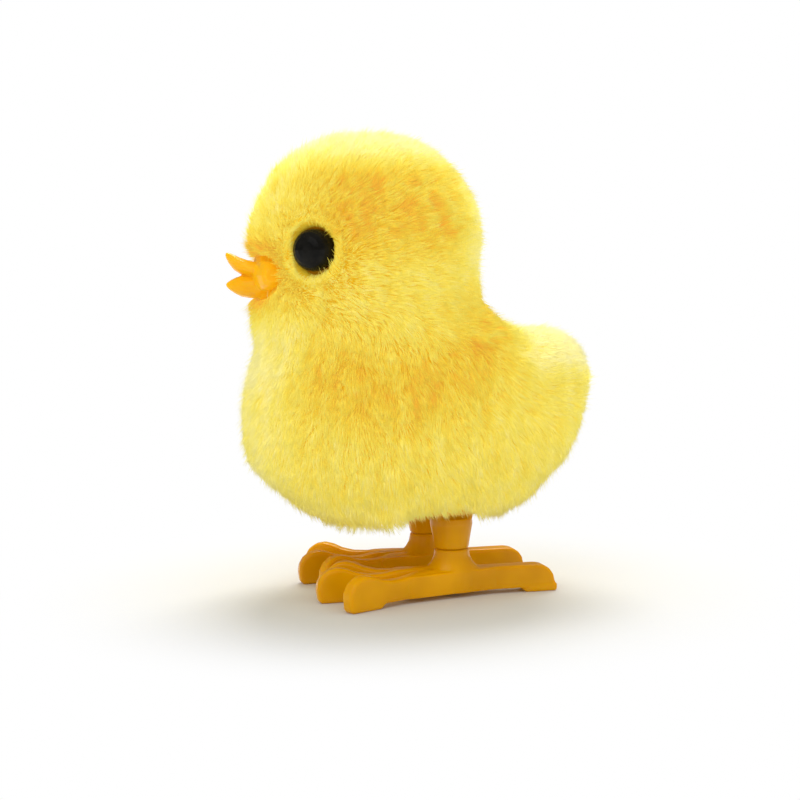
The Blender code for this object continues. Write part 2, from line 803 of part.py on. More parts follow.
def build_foot(side):
    """One moulded foot: three front toes, a rear toe and a socket for the leg's peg."""
    pieces = [
        chamfered_slab(rear_toe_outline(), REAR_TOE_HALF_WIDTH, TOE_CHAMFER),
        chamfered_slab(heel_outline(), REAR_TOE_HALF_WIDTH + 0.2, 0.2),
        prism("Z", SOLE_WEB, ARCH_HEIGHT + 0.15, 4.2),
        prism("Z", OUTER_FLANK, ARCH_HEIGHT + 0.1, REAR_TOE_HEIGHT - 0.1),
        prism("Z", INNER_FLANK, ARCH_HEIGHT + 0.12, REAR_TOE_HEIGHT - 0.15),
        ankle(),
    ]
    # The heights differ by a hair, so that no two of the joined pieces share a plane.
    for (sideways, along), hair in ((OUTER_TOE_TIP, 0.05), (INNER_TOE_TIP, -0.05)):
        length = math.hypot(sideways, along)
        outline = toe_outline(length, ARCH_HEIGHT + hair, INSTEP_HEIGHT + hair)
        toe = chamfered_slab(outline, TOE_HALF_WIDTH + hair / 5, TOE_CHAMFER)
        splay = math.atan2(sideways, -along)
        pieces.append(moved(toe, Matrix.Rotation(splay, 4, "Z")))
    middle_outline = toe_outline(MIDDLE_TOE_LENGTH, ARCH_HEIGHT, INSTEP_HEIGHT + 0.3)
    middle = chamfered_slab(middle_outline, TOE_HALF_WIDTH, TOE_CHAMFER)
    socket = cylinder("Z", (0.0, 0.0), PEG_RADIUS + RUNNING, PEG_END_Z - 0.3, 12.0)
    shank_hole = cylinder("Z", (0.0, 0.0), SCREW_SHANK_RADIUS + RUNNING, 1.0, 5.0, 16)
    head_hole = cylinder("Z", (0.0, 0.0), SCREW_HEAD_RADIUS + 0.3, -1.0, 2.4, 16)
    offset = Matrix.Translation((FOOT_X, 0.0, 0.0))

    def sided(shape):
        placed = moved(shape, offset)
        return placed if side == "left" else mirrored(placed)

    part(
        f"foot_{side}",
        sided(middle),
        "orange_plastic",
        pivot=(0.0, 0.0, PIVOT_Z),
        add=[sided(piece) for piece in pieces],
        cut=[sided(hole) for hole in (socket, shank_hole, head_hole)],
    )
    screw = turned(
        "Z",
        (0.0, 0.0),
        (
            (1.1, SCREW_HEAD_RADIUS),
            (2.1, SCREW_HEAD_RADIUS),
            (2.1, SCREW_SHANK_RADIUS),
            (7.4, SCREW_SHANK_RADIUS),
            (8.2, 0.3),
        ),
        16,
    )
    part(f"foot_screw_{side}", sided(screw), "steel", pivot=(0.0, 0.0, PIVOT_Z))


def build_leg(side):
    """A leg: the round column that shows, its peg, and the flat blade inside the body."""
    axis = (FOOT_X, 0.0)
    column = turned(
        "Z",
        axis,
        (
            (PEG_END_Z, PEG_RADIUS - 0.3),
            (PEG_END_Z + 0.4, PEG_RADIUS),
            (SEAM_Z + SEAM_GAP / 2, PEG_RADIUS),
            (SEAM_Z + SEAM_GAP / 2, SEAM_RADIUS),
            (13.2, 4.15),
            (15.6, COLUMN_TOP_RADIUS),
            (COLUMN_TOP_Z, COLUMN_TOP_RADIUS - 0.1),
        ),
    )
    blade_outline = rounded_rectangle(
        (-BLADE_HALF_WIDTH, BLADE_HALF_WIDTH), (COLUMN_TOP_Z - 1.2, BLADE_TOP_Z), 1.9
    )
    blade = prism("X", blade_outline, *BLADE_X)
    pivot_hole = cylinder("X", (0.0, PIVOT_Z), AXLE_RADIUS + RUNNING, 11.0, 16.0)
    slot = prism(
        "X",
        slot_outline((0.0, CRANK_Z), CRANK_PIN_RADIUS + 0.2, CRANK_THROW + 0.2),
        11.0,
        16.0,
    )
    pilot = cylinder("Z", axis, SCREW_SHANK_RADIUS + RUNNING, 3.0, 8.8, 16)

    def sided(shape):
        return shape if side == "left" else mirrored(shape)

    part(
        f"leg_{side}",
        sided(column),
        "orange_plastic",
        pivot=(0.0, 0.0, PIVOT_Z),
        add=(sided(blade),),
        cut=[sided(hole) for hole in (pivot_hole, slot, pilot)],
    )


def build_axle():
    axis = (0.0, PIVOT_Z)
    ends = AXLE_HALF_LENGTH
    part(
        "leg_axle",
        cylinder("X", axis, AXLE_RADIUS, -ends, ends),
        "steel",
        pivot=on_axis(axis),
    )
    for side, sign in (("left", 1), ("right", -1)):
        inner = sign * CLIP_INNER_X
        outer = sign * (CLIP_INNER_X + CLIP_THICKNESS)
        hole = cylinder("X", axis, AXLE_RADIUS + RUNNING, sign * 13.0, sign * 17.0, 16)
        part(f"axle_clip_{side}", cylinder("X", axis, 2.2, inner, outer, 16), "steel", cut=(hole,))


# ---- motor --------------------------------------------------------------------------
def bearing_holes(low, high):
    """One running hole for each arbor that the motor's two side plates carry."""
    shafts = (
        (WINDING_AXIS, ARBOR_RADIUS),
        (SECOND_AXIS, THIN_ARBOR_RADIUS),
        (CRANK_AXIS, CRANK_SHAFT_RADIUS),
        (GOVERNOR_AXIS, THIN_ARBOR_RADIUS),
        (VERGE_AXIS, THIN_ARBOR_RADIUS),
        ((0.0, PIVOT_Z), AXLE_RADIUS),
    )
    return [cylinder("X", axis, radius + RUNNING, low, high, 16) for axis, radius in shafts]


def build_case_tub():
    outside = rounded_outline(CASE_CORNERS)
    rear, front = CASE_CORNERS[1][0], CASE_CORNERS[3][0]
    body = prism("X", outside, -CASE_X, TUB_RIM_X)
    hollow = prism("X", inset(outside, CASE_WALL), -CASE_X + CASE_WALL, CASE_X)
    item = part("motor_case_tub", body, "case_plastic", cut=(hollow,))
    floor = -CASE_X + CASE_WALL / 2
    additions = [
        cylinder("X", axis, CASE_PILLAR_RADIUS, floor, TUB_RIM_X, 12) for axis in CASE_SCREWS
    ]
    for y in BASE_SCREW_Y:
        additions.append(cylinder("Z", (0.0, y), 2.0, CASE_BOTTOM_Z + 0.6, 25.4, 16))
    chest, tail = SHELL_BOSSES["chest"], SHELL_BOSSES["tail"]
    additions.append(
        box((-1.2, 1.2), (chest[0] - 2.6, front + 0.6), (chest[1] - 2.6, chest[1] + 2.6))
    )
    additions.append(
        box((-1.2, 1.2), (rear - 0.6, tail[0] + 2.6), (tail[1] - 2.6, tail[1] + 2.6))
    )
    post = point_from(WINDING_AXIS, SPRING_RADII[1] + 0.9, math.radians(225.0))
    additions.append(cylinder("X", post, 0.8, floor, SPRING_X[1], 12))
    for number, extra in enumerate(additions, 1):
        combine(item, "UNION", construction(f"motor_case_tub_add_{number}", extra))
    holes = bearing_holes(-12.0, -8.0)
    holes += [
        cylinder("X", axis, SCREW_SHANK_RADIUS + RUNNING, 1.0, 12.0, 16)
        for axis in CASE_SCREWS
    ]
    holes += [
        cylinder("X", axis, SCREW_SHANK_RADIUS + 0.3, -3.0, 3.0, 16) for axis in (chest, tail)
    ]
    holes += [
        cylinder("Z", (0.0, y), SCREW_SHANK_RADIUS + RUNNING, 19.0, 24.4, 16)
        for y in BASE_SCREW_Y
    ]
    for number, hole in enumerate(holes, 2):
        combine(item, "DIFFERENCE", construction(f"motor_case_tub_cut_{number}", hole))


def build_case_cover():
    plate = prism("X", rounded_outline(CASE_CORNERS), *COVER_PLATE_X)
    holes = bearing_holes(8.0, 12.0)
    holes += [
        cylinder("X", axis, SCREW_SHANK_RADIUS + 0.2, 8.0, 12.0, 16) for axis in CASE_SCREWS
    ]
    part("motor_case_cover", plate, "case_plastic", cut=holes)
    for number, axis in enumerate(CASE_SCREWS, 1):
        screw = turned(
            "X",
            axis,
            (
                (2.2, 0.3),
                (3.0, SCREW_SHANK_RADIUS),
                (10.7, SCREW_SHANK_RADIUS),
                (10.7, SCREW_HEAD_RADIUS),
                (11.6, SCREW_HEAD_RADIUS),
            ),
            16,
        )
        part(f"case_screw_{number}", screw, "steel")


def build_base_plate():
    """The plate that closes the underside, with a slot for each leg to swing in."""
    outline = []
    for step in range(32):
        point = row_point((0.0, -23.0, 13.8, 17.0, 2.6), 2 * math.pi * step / 32)
        outline.append((point.x, point.y))
    slots = []
    for sign in (1, -1):
        opening = rounded_rectangle((9.6, 15.2), (-6.6, 6.6), 2.2)
        slots.append(prism("Z", [(sign * x, y) for x, y in opening], 17.0, 21.0))
    holes = [cylinder("Z", (0.0, y), SCREW_SHANK_RADIUS + 0.2, 17.0, 21.0, 16) for y in BASE_SCREW_Y]
    part("base_plate", prism("Z", outline, *BASE_Z), "shell_plastic", cut=slots + holes)
    for name, y in zip(("front", "rear"), BASE_SCREW_Y):
        screw = turned(
            "Z",
            (0.0, y),
            (
                (BASE_Z[0] - 1.1, SCREW_HEAD_RADIUS),
                (BASE_Z[0] - 0.2, SCREW_HEAD_RADIUS),
                (BASE_Z[0] - 0.2, SCREW_SHANK_RADIUS),
                (23.0, SCREW_SHANK_RADIUS),
                (23.8, 0.3),
            ),
            16,
        )
        part(f"base_screw_{name}", screw, "steel")


def build_mainspring():
    """A coiled strip, from near the arbor out to the post on the tub."""
    steps = int(SPRING_TURNS * 16)
    start = math.radians(225.0) - 2 * math.pi * SPRING_TURNS
    inside, outside = [], []
    for step in range(steps + 1):
        share = step / steps
        radius = SPRING_RADII[0] + (SPRING_RADII[1] - SPRING_RADII[0]) * share
        turn = start + 2 * math.pi * SPRING_TURNS * share - math.radians(8.0)
        inside.append(point_from(WINDING_AXIS, radius - SPRING_STRIP / 2, turn))
        outside.append(point_from(WINDING_AXIS, radius + SPRING_STRIP / 2, turn))
    count = steps + 1
    points, faces = [], []
    for x in SPRING_X:
        points += [(x, y, z) for y, z in inside + outside]
    other = 2 * count
    for k in range(steps):
        faces.append((k, k + 1, count + k + 1, count + k))
        faces.append((other + k, other + k + 1, other + count + k + 1, other + count + k))
        faces.append((k, k + 1, other + k + 1, other + k))
        faces.append((count + k, count + k + 1, other + count + k + 1, other + count + k))
    faces.append((0, count, other + count, other))
    faces.append((steps, count + steps, other + count + steps, other + steps))
    part("mainspring", (points, faces), "spring_steel")


def build_winding_arbor():
    pivot = on_axis(WINDING_AXIS)
    arbor = cylinder("X", WINDING_AXIS, ARBOR_RADIUS, -28.0, 10.2)
    part("winding_arbor", arbor, "steel", pivot=pivot)

    teeth, tip, root = 12, 4.4, 3.5
    saw = []
    for tooth in range(teeth):
        turn = 2 * math.pi * tooth / teeth
        saw.append(point_from(WINDING_AXIS, root, turn))
        saw.append(point_from(WINDING_AXIS, tip, turn + 0.03))
    hub = cylinder("X", WINDING_AXIS, 2.6, RATCHET_X[0], 1.4)
    bore = cylinder("X", WINDING_AXIS, ARBOR_RADIUS + RUNNING, -3.0, 3.0)
    part(
        "ratchet_wheel",
        prism("X", saw, *RATCHET_X),
        "steel",
        pivot=pivot,
        add=(hub,),
        cut=(bore,),
    )


def build_knob():
    lobes, deep = 10, 0.7
    rim = []
    for step in range(lobes * 6):
        turn = 2 * math.pi * step / (lobes * 6)
        radius = KNOB_RADIUS - deep / 2 * (1 - math.cos(lobes * turn))
        rim.append(point_from(WINDING_AXIS, radius, turn))
    small = inset(rim, 0.5)
    inner_x, outer_x = KNOB_X
    stations = ((inner_x, small), (inner_x - 0.5, rim), (outer_x + 0.5, rim), (outer_x, small))
    disc = loft([[(x, y, z) for y, z in outline] for x, outline in stations])
    stem = cylinder("X", WINDING_AXIS, KNOB_STEM_RADIUS, inner_x - 0.8, -11.2)
    bore = cylinder("X", WINDING_AXIS, ARBOR_RADIUS + RUNNING, -28.4, -10.0)
    part(
        "winding_knob",
        disc,
        "knob_plastic",
        pivot=on_axis(WINDING_AXIS),
        add=(stem,),
        cut=(bore,),
    )


def build_great_wheel():
    """The first wheel, free on the arbor, with the click that the ratchet drives."""
    pivot = on_axis(WINDING_AXIS)
    post_axis = point_from(WINDING_AXIS, 6.6, math.radians(90.0))
    phase = direction(WINDING_AXIS, SECOND_AXIS)
    post = cylinder("X", post_axis, 0.7, GREAT_X[0] + 0.4, 0.5, 12)
    bore = cylinder("X", WINDING_AXIS, ARBOR_RADIUS + RUNNING, -5.0, 1.0)
    part(
        "great_wheel",
        gear(GREAT_TEETH, WINDING_AXIS, phase, GREAT_X),
        "gear_plastic",
        pivot=pivot,
        add=(post,),
        cut=(bore,),
    )
    y, z = post_axis
    click_outline = (
        (y + 1.4, z - 0.9),
        (y + 1.5, z + 0.6),
        (y + 0.6, z + 1.4),
        (y - 0.8, z + 1.4),
        (y - 2.6, z + 0.6),
        (y - 4.2, z - 1.4),
        (y - 4.6, z - 2.9),
        (y - 3.6, z - 2.6),
        (y - 2.2, z - 1.2),
    )
    click = prism("X", click_outline, *RATCHET_X)
    hole = cylinder("X", post_axis, 0.7 + RUNNING, -3.0, 2.0, 12)
    part("click", click, "steel", pivot=on_axis(post_axis), cut=(hole,))


def build_second_wheel():
    pivot = on_axis(SECOND_AXIS)
    arbor = cylinder("X", SECOND_AXIS, THIN_ARBOR_RADIUS, -10.2, 10.2)
    part("second_arbor", arbor, "steel", pivot=pivot)
    wheel = gear(
        SECOND_TEETH, SECOND_AXIS, direction(SECOND_AXIS, CRANK_AXIS), SECOND_WHEEL_X
    )
    pinion = gear(
        PINION_TEETH,
        SECOND_AXIS,
        meshing_phase(PINION_TEETH, SECOND_AXIS, WINDING_AXIS),
        SECOND_PINION_X,
    )
    hub = cylinder("X", SECOND_AXIS, 1.5, SECOND_PINION_X[0] + 0.6, SECOND_WHEEL_X[1] - 0.4)
    bore = cylinder("X", SECOND_AXIS, THIN_ARBOR_RADIUS + RUNNING, -6.0, 6.0)
    part("second_wheel", wheel, "gear_plastic", pivot=pivot, add=(hub, pinion), cut=(bore,))


def build_crank_shaft():
    pivot = on_axis(CRANK_AXIS)
    end = CRANK_INNER_X + CRANK_THICKNESS - 0.1
    shaft = cylinder("X", CRANK_AXIS, CRANK_SHAFT_RADIUS, -end, end)
    part("crank_shaft", shaft, "steel", pivot=pivot)
    drive = gear(DRIVE_TEETH, CRANK_AXIS, direction(CRANK_AXIS, GOVERNOR_AXIS), DRIVE_X)
    pinion = gear(
        PINION_TEETH,
        CRANK_AXIS,
        meshing_phase(PINION_TEETH, CRANK_AXIS, SECOND_AXIS),
        CRANK_PINION_X,
    )
    hub = cylinder("X", CRANK_AXIS, 1.8, CRANK_PINION_X[1] - 0.8, DRIVE_X[1] - 0.3)
    bore = cylinder("X", CRANK_AXIS, CRANK_SHAFT_RADIUS + RUNNING, 0.0, 8.0)
    part("crank_gear", drive, "gear_plastic", pivot=pivot, add=(hub, pinion), cut=(bore,))
    pin_axis = (CRANK_AXIS[0], CRANK_AXIS[1] + CRANK_THROW)
    for side, sign in (("left", 1), ("right", -1)):
        inner = sign * CRANK_INNER_X
        outer = sign * (CRANK_INNER_X + CRANK_THICKNESS)
        tip = outer + sign * CRANK_PIN_LENGTH
        disc = cylinder("X", CRANK_AXIS, 3.2, inner, outer)
        pin = cylinder("X", pin_axis, CRANK_PIN_RADIUS, inner + sign * 0.3, tip, 16)
        bore = cylinder(
            "X", CRANK_AXIS, CRANK_SHAFT_RADIUS + RUNNING, sign * 10.0, outer, 16
        )
        part(f"crank_{side}", disc, "gear_plastic", pivot=pivot, add=(pin,), cut=(bore,))


def build_governor():
    """The fast wheel and the rocking verge that keep the motor from racing."""
    pivot = on_axis(GOVERNOR_AXIS)
    arbor = cylinder("X", GOVERNOR_AXIS, THIN_ARBOR_RADIUS, -10.2, 10.2)
    part("governor_arbor", arbor, "steel", pivot=pivot)
    teeth, tip, root = 8, 3.3, 2.3
    star = []
    for tooth in range(teeth):
        turn = 2 * math.pi * tooth / teeth
        star.append(point_from(GOVERNOR_AXIS, root, turn - 0.30))
        star.append(point_from(GOVERNOR_AXIS, tip, turn - 0.04))
        star.append(point_from(GOVERNOR_AXIS, tip, turn + 0.04))
    pinion = gear(
        PINION_TEETH,
        GOVERNOR_AXIS,
        meshing_phase(PINION_TEETH, GOVERNOR_AXIS, CRANK_AXIS),
        GOVERNOR_PINION_X,
    )
    hub = cylinder("X", GOVERNOR_AXIS, 1.5, GOVERNOR_PINION_X[0] + 0.4, ESCAPE_X[1] - 0.2)
    bore = cylinder("X", GOVERNOR_AXIS, THIN_ARBOR_RADIUS + RUNNING, 3.0, 9.0)
    part(
        "governor_wheel",
        prism("X", star, *ESCAPE_X),
        "gear_plastic",
        pivot=pivot,
        add=(hub, pinion),
        cut=(bore,),
    )


def build_verge():
    """An anchor that straddles the star wheel, turning on its own thin arbor."""
    pivot = on_axis(VERGE_AXIS)
    toward = direction(VERGE_AXIS, GOVERNOR_AXIS)
    clear_radius = 3.85
    inner, outer = [], []
    for step in range(9):
        turn = toward + math.pi + math.radians(54.0) * (step / 4 - 1)
        inner.append(point_from(GOVERNOR_AXIS, clear_radius, turn))
        outer.append(point_from(GOVERNOR_AXIS, clear_radius + 0.85, turn))
    anchor = prism("X", inner + outer[::-1], *ESCAPE_X)
    hub = cylinder("X", VERGE_AXIS, 1.4, *ESCAPE_X)
    arbor = cylinder("X", VERGE_AXIS, THIN_ARBOR_RADIUS, -10.2, 10.2)
    part("verge", anchor, "steel", pivot=pivot, add=(hub, arbor))


def build_toy():
    build_plush_cover()
    for side in ("left", "right"):
        build_shell_half(side)
    build_shell_screws()
    build_beak()
    build_beak_washer()
    for side in ("left", "right"):
        build_eye(side)
        build_foot(side)
        build_leg(side)
    build_axle()
    build_case_tub()
    build_case_cover()
    build_base_plate()
    build_mainspring()
    build_winding_arbor()
    build_knob()
    build_great_wheel()
    build_second_wheel()
    build_crank_shaft()
    build_governor()
    build_verge()


build_toy()
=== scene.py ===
"""Looks of a wind-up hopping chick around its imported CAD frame.

Lengths are in metres and the axes are the frame's: +Z is up, the beak points along -Y, and the winding
knob is on the -X side. Values marked "toy" are millimetres on the toy's own axes. The plush is a backing
cloth with mesh strands standing on it, all riding on the torso.
"""

import math

import bmesh
import bpy
import numpy as np
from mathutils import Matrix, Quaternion, Vector
from mathutils.kdtree import KDTree


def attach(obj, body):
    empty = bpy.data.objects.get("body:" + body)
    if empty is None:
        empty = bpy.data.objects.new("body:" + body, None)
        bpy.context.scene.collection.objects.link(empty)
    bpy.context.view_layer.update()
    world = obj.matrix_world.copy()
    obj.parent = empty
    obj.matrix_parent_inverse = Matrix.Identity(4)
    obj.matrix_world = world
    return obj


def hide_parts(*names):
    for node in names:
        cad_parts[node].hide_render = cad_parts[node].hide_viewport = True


MM = 0.001

# The toy's own axes start on the floor, midway between the feet and under the leg axle.
TOY_ORIGIN = np.array((3.5, 5.25, 0.0)) * MM

# Camera
CAMERA_DISTANCE = 340 * MM
CAMERA_HEIGHT = 68 * MM
CAMERA_TURN = math.radians(13.5)
CAMERA_ASIDE = -8.1 * MM
CAMERA_PITCH = math.radians(4.45)
CAMERA_ROLL = math.radians(0.8)
CAMERA_LENS = 69.4

# Plush: places on the toy
HEAD_CENTRE = (0.0, -16.4, 74.5)
SPINE = [
    TOY_ORIGIN + np.array(point) * MM
    for point in ((0.0, 18.0, 40.0), (0.0, -18.0, 38.0), HEAD_CENTRE)
]
EYE_CENTRE = (20.2, -32.4, 74.3)  # the left one
EYE_CLEARING = 4.5
BEAK_CENTRE = (0.0, -40.0, 70.0)  # the pile of the head lies away from it
PADS = (  # plush over the beak's base and behind the mouth: the centre and radii of each
    ((0.0, -39.4, 76.3), (7.0, 3.2, 3.0)),
    ((0.0, -37.0, 69.3), (13.4, 3.5, 6.8)),
)
MOUTH_HEIGHT = 68.8
MOUTH_CLEARING = (11.3, 4.0)  # no strands grow this far across or up from the mouth's middle
FACE_FRONT = -30.0  # the mouth's clearing holds in front of it
LEG_X = 11.0
LEG_CLEARING = 9.5
LEG_CLEARING_TOP = 20.0

# Plush: the pile
SKIN_VOXEL = 1.0 * MM
SKIN_SMOOTHING = 14
PILE_DEPTH = 3.2 * MM
STRAND_COUNT = 230_000
STRAND_SEED = 11
STRAND_WIDTH = 0.13 * MM
STRAND_SINK = 0.4 * MM
STRAND_REACH = (0.72, 1.04)  # shares of the pile's depth
GUARD_SHARE = 0.10  # strands that stand out of the pile and soften its edge
GUARD_REACH = (1.1, 1.5)
STRAND_LEAN = 2.6  # how far a tip lies along the comb, in millimetres
HEAD_LEAN_LOSS = 0.7
HEM_LEAN_GAIN = 0.4
SWIRL = (8.0, 0.34)  # wavelength and size of the wide swirls, in millimetres
RUFFLE = (2.6, 0.16)  # and of the small ones
HEAD_RUFFLE = 0.06
STRAY = 0.13
TUFT_COUNT = 14_000
TUFT_PULL = (0.16, 0.12)  # how far tips gather to their tuft: the mean share and its swing
TUFT_SPREAD = 0.35
BEND_HEIGHT = 0.62  # a strand's middle, as a share of its rise
BEND_LEAN = 0.34  # and of its lean
FUR_BANDS = (  # each fur piece's name, and the heights between which it is rooted
    ("hem", -10.0, 20.0),
    ("belly", 20.0, 27.0),
    ("flank", 27.0, 34.0),
    ("breast", 34.0, 41.0),
    ("shoulder", 41.0, 48.0),
    ("neck", 48.0, 57.0),
    ("throat", 57.0, 67.0),
    ("cheek", 67.0, 77.0),
    ("brow", 77.0, 87.0),
    ("crown", 87.0, 200.0),
)
FUR_UV = "OFBake"
FUR_GLOW = 0.22  # painted glow: emission strength of the strands, standing in for light passed from strand to strand and lifting the shade between them
CLOTH_GLOW = 0.15  # painted glow of the cloth between the strands, lifting its shade

# Plastic
FOOT_VOXEL = 0.22 * MM
BEAK_VOXEL = 0.15 * MM
PLASTIC_GLOW = 0.4  # light scattered under the surface, which also sets a painted glow (emission) that lifts the plastic's shaded sides
# painted glow: emission strength for each unit of PLASTIC_GLOW
EMISSION_PER_GLOW = 0.3

# Studio
WORLD_STRENGTH = 0.9
REFLECTED_STRENGTH = 0.15
FLOOR_COLOUR = (0.66, 0.66, 0.65)
FLOOR_FADE = (0.040, 0.090)  # the distances between which the floor turns white
FLOOR_REACH = 6.0
LAMP_TARGET = (0.0, 0.0, 0.04)
LAMPS = (  # each lamp's name, place, size, power and colour
    ("key", (-0.40, 0.16, 0.68), 0.42, 4.8, (1.0, 0.99, 0.96)),
    ("fill", (0.55, -0.35, 0.60), 0.6, 1.2, (1.0, 1.0, 1.0)),
)


# ---------------------------------------------------------------- small helpers


def smooth_step(low, high, value):
    """0 below low, 1 above high, and an even curve between."""
    share = np.clip((value - low) / (high - low), 0.0, 1.0)
    return share * share * (3.0 - 2.0 * share)


def unit(vectors):
    """Each row scaled to length 1."""
    return vectors / np.maximum(np.linalg.norm(vectors, axis=-1, keepdims=True), 1e-12)


def wave_noise(points, wavelength, seed, waves=28):
    """Smooth noise of about unit spread, made of sine waves in random directions."""
    rng = np.random.default_rng(seed)
    directions = unit(rng.normal(size=(waves, 3)))
    numbers = directions * (2.0 * math.pi / wavelength) * rng.uniform(0.7, 1.4, (waves, 1))
    phases = rng.uniform(0.0, 2.0 * math.pi, waves)
    return np.sin(points @ numbers.T + phases).sum(axis=1) / math.sqrt(waves / 2.0)


def vector_noise(points, wavelength, seed):
    """Three independent noises, as a vector for each point."""
    return np.stack([wave_noise(points, wavelength, seed + axis) for axis in range(3)], axis=1)


def new_object(name, mesh):
    """An object that holds the mesh, linked to the scene."""
    piece = bpy.data.objects.new(name, mesh)
    bpy.context.scene.collection.objects.link(piece)
    return piece


def vertex_positions(mesh):
    flat = np.empty(len(mesh.vertices) * 3, np.float32)
    mesh.vertices.foreach_get("co", flat)
    return flat.reshape(-1, 3).astype(float)


def vertex_normals(mesh):
    flat = np.empty(len(mesh.vertices) * 3, np.float32)
    mesh.vertex_normals.foreach_get("vector", flat)
    return flat.reshape(-1, 3).astype(float)


def set_positions(mesh, points):
    mesh.vertices.foreach_set("co", points.astype(np.float32).ravel())
    mesh.update()


def rounded_copy(node, name, voxel, smoothing, prepare=None):
    """A new piece shaped like a CAD node, with its edges softened."""
    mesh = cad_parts[node].data.copy()
    if prepare:
        prepare(mesh)
    mesh.materials.clear()
    draft = new_object(name, mesh)
    remesh = draft.modifiers.new("remesh", "REMESH")
    remesh.mode = "VOXEL"
    remesh.voxel_size = voxel
    smooth = draft.modifiers.new("smooth", "SMOOTH")
    smooth.factor = 0.5
    smooth.iterations = smoothing
    depsgraph = bpy.context.evaluated_depsgraph_get()
    final = bpy.data.meshes.new_from_object(draft.evaluated_get(depsgraph))
    draft.modifiers.clear()
    draft.data = final
    final.name = name
    final.polygons.foreach_set("use_smooth", [True] * len(final.polygons))
    return draft


# ---------------------------------------------------------------- materials


class Nodes:
    """A material's node tree, with short ways to add nodes and link them."""

    def __init__(self, name):
        self.material = bpy.data.materials.new(name)
        self.material.use_nodes = True
        self.tree = self.material.node_tree
        self.shader = self.tree.nodes["Principled BSDF"]

    def add(self, kind, **values):
        """A node with its settings and input values; a socket value is linked."""
        node = self.tree.nodes.new(kind)
        for key, value in values.items():
            if hasattr(node, key):
                setattr(node, key, value)
            else:
                self.put(node.inputs[key.replace("_", " ")], value)
        return node

    def put(self, socket, value):
        if isinstance(value, bpy.types.NodeSocket):
            self.tree.links.new(value, socket)
        else:
            socket.default_value = value

    def set(self, **values):
        """Inputs of the Principled shader."""
        for key, value in values.items():
            self.put(self.shader.inputs[key.replace("_", " ")], value)

    def ramp(self, factor, *stops):
        """A colour ramp with (position, colour) stops."""
        node = self.tree.nodes.new("ShaderNodeValToRGB")
        elements = node.color_ramp.elements
        while len(elements) > 1:
            elements.remove(elements[0])
        elements[0].position = stops[0][0]
        elements[0].color = (*stops[0][1], 1.0)
        for position, colour in stops[1:]:
            elements.new(position).color = (*colour, 1.0)
        self.put(node.inputs["Fac"], factor)
        return node.outputs["Color"]

    def noise(self, scale, detail=3.0, roughness=0.5):
        """Noise in the frame's own space, so that it doesn't depend on a UV map."""
        place = self.tree.nodes.new("ShaderNodeTexCoord").outputs["Object"]
        node = self.tree.nodes.new("ShaderNodeTexNoise")
        node.inputs["Scale"].default_value = scale
        node.inputs["Detail"].default_value = detail
        node.inputs["Roughness"].default_value = roughness
        self.tree.links.new(place, node.inputs["Vector"])
        return node.outputs["Fac"]

    def bump(self, height, strength, distance):
        node = self.tree.nodes.new("ShaderNodeBump")
        node.inputs["Strength"].default_value = strength
        node.inputs["Distance"].default_value = distance
        self.tree.links.new(height, node.inputs["Height"])
        return node.outputs["Normal"]

    def mix(self, factor, first, second):
        node = self.tree.nodes.new("ShaderNodeMix")
        node.data_type = "RGBA"
        self.put(node.inputs["Factor"], factor)
        for socket, value in ((node.inputs["A"], first), (node.inputs["B"], second)):
            self.put(socket, value if isinstance(value, bpy.types.NodeSocket) else (*value, 1.0))
        return node.outputs["Result"]


def linear(red, green, blue):
    """A colour given as 0 to 255 on a screen, as the light values a material takes."""
    shares = (red / 255.0, green / 255.0, blue / 255.0)
    return tuple(s / 12.92 if s <= 0.04045 else ((s + 0.055) / 1.055) ** 2.4 for s in shares)


def fur_material():
    """The map's u is a strand's tone, from orange to lemon, and its v the way up the strand."""
    nodes = Nodes("fur_strand")
    place = nodes.tree.nodes.new("ShaderNodeUVMap")
    place.uv_map = FUR_UV
    split = nodes.tree.nodes.new("ShaderNodeSeparateXYZ")
    nodes.tree.links.new(place.outputs["UV"], split.inputs["Vector"])
    tone, along = split.outputs["X"], split.outputs["Y"]
    # The 0.3 stops are a darker gold, used for gold fur and for the painted shade under the head.
    at_root = nodes.ramp(
        tone,
        (0.0, linear(236, 158, 4)),
        (0.3, linear(240, 210, 44)),
        (0.6, linear(247, 234, 100)),
        (1.0, linear(252, 245, 166)),
    )
    at_tip = nodes.ramp(
        tone,
        (0.0, linear(246, 178, 8)),
        (0.3, linear(246, 222, 56)),
        (0.6, linear(252, 243, 130)),
        (1.0, linear(255, 252, 204)),
    )
    # painted glow: the strands emit a pale yellow at FUR_GLOW, lifting the shade between them
    nodes.set(
        Base_Color=nodes.mix(along, at_root, at_tip),
        Roughness=0.7,
        Specular_IOR_Level=0.15,
        Emission_Color=(*linear(253, 234, 110), 1.0),
        Emission_Strength=FUR_GLOW,
    )
    return nodes.material


def skin_material():
    """The cloth the pile is woven into, seen only between strands, with a painted glow that lifts its
    shade.
    """
    nodes = Nodes("fur_backing")
    fleck = nodes.noise(900.0, detail=5.0, roughness=0.7)
    nodes.set(
        Base_Color=nodes.ramp(
            fleck,
            (0.3, linear(232, 188, 30)),
            (0.7, linear(246, 222, 76)),
        ),
        Roughness=0.9,
        Specular_IOR_Level=0.1,
        Normal=nodes.bump(fleck, 0.4, 0.3 * MM),
        # painted glow: the cloth emits a golden yellow, lifting the shade between strands
        Emission_Color=(*linear(246, 204, 50), 1.0),
        Emission_Strength=CLOTH_GLOW,
    )
    return nodes.material


